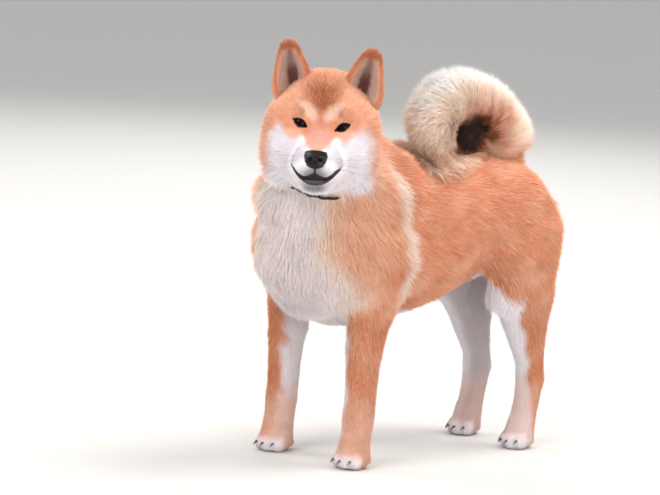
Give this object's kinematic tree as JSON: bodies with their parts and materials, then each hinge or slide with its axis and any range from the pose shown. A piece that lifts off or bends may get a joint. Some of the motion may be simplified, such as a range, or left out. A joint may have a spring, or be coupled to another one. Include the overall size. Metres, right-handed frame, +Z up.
{
  "type": "shiba inu dog figure",
  "caption": "Life-size still figure of a standing shiba inu dog with its head turned to its left, upright ears and a tail curled over its back.",
  "frame": {"origin": "on the floor under the middle of the model's box", "axes": "+Z up, -Y the way the body faces, +X the dog's left side"},
  "size_m": [0.2362, 0.4862, 0.533],
  "materials": {
    "red_coat": "dense short double coat, orange red with a sesame crown",
    "cream_coat": "soft cream fur",
    "eye": "wet, very dark brown",
    "nose_leather": "pebbled, damp, black",
    "lip_skin": "smooth black skin",
    "claw_horn": "dark horn",
    "collar_cord": "thin black rolled cord"
  },
  "bodies": {
    "root": {"claw_fore_left_1": "claw_horn", "claw_fore_left_2": "claw_horn", "claw_fore_left_3": "claw_horn", "claw_fore_left_4": "claw_horn", "claw_fore_right_1": "claw_horn", "claw_fore_right_2": "claw_horn", "claw_fore_right_3": "claw_horn", "claw_fore_right_4": "claw_horn", "claw_hind_left_1": "claw_horn", "claw_hind_left_2": "claw_horn", "claw_hind_left_3": "claw_horn", "claw_hind_left_4": "claw_horn", "claw_hind_right_1": "claw_horn", "claw_hind_right_2": "claw_horn", "claw_hind_right_3": "claw_horn", "claw_hind_right_4": "claw_horn", "collar": "collar_cord", "ear_left": "red_coat", "ear_right": "red_coat", "eye_left": "eye", "eye_right": "eye", "foreleg_left": "red_coat", "foreleg_right": "red_coat", "forepaw_left": "cream_coat", "forepaw_right": "cream_coat", "head": "red_coat", "hindpaw_left": "cream_coat", "hindpaw_right": "cream_coat", "lip_lower": "lip_skin", "lip_upper": "lip_skin", "neck": "red_coat", "nose": "nose_leather", "shank_left": "red_coat", "shank_right": "red_coat", "tail_end": "cream_coat", "tail_middle": "cream_coat", "tail_root": "cream_coat", "thigh_left": "red_coat", "thigh_right": "red_coat", "torso": "red_coat"}
  },
  "joints": []
}
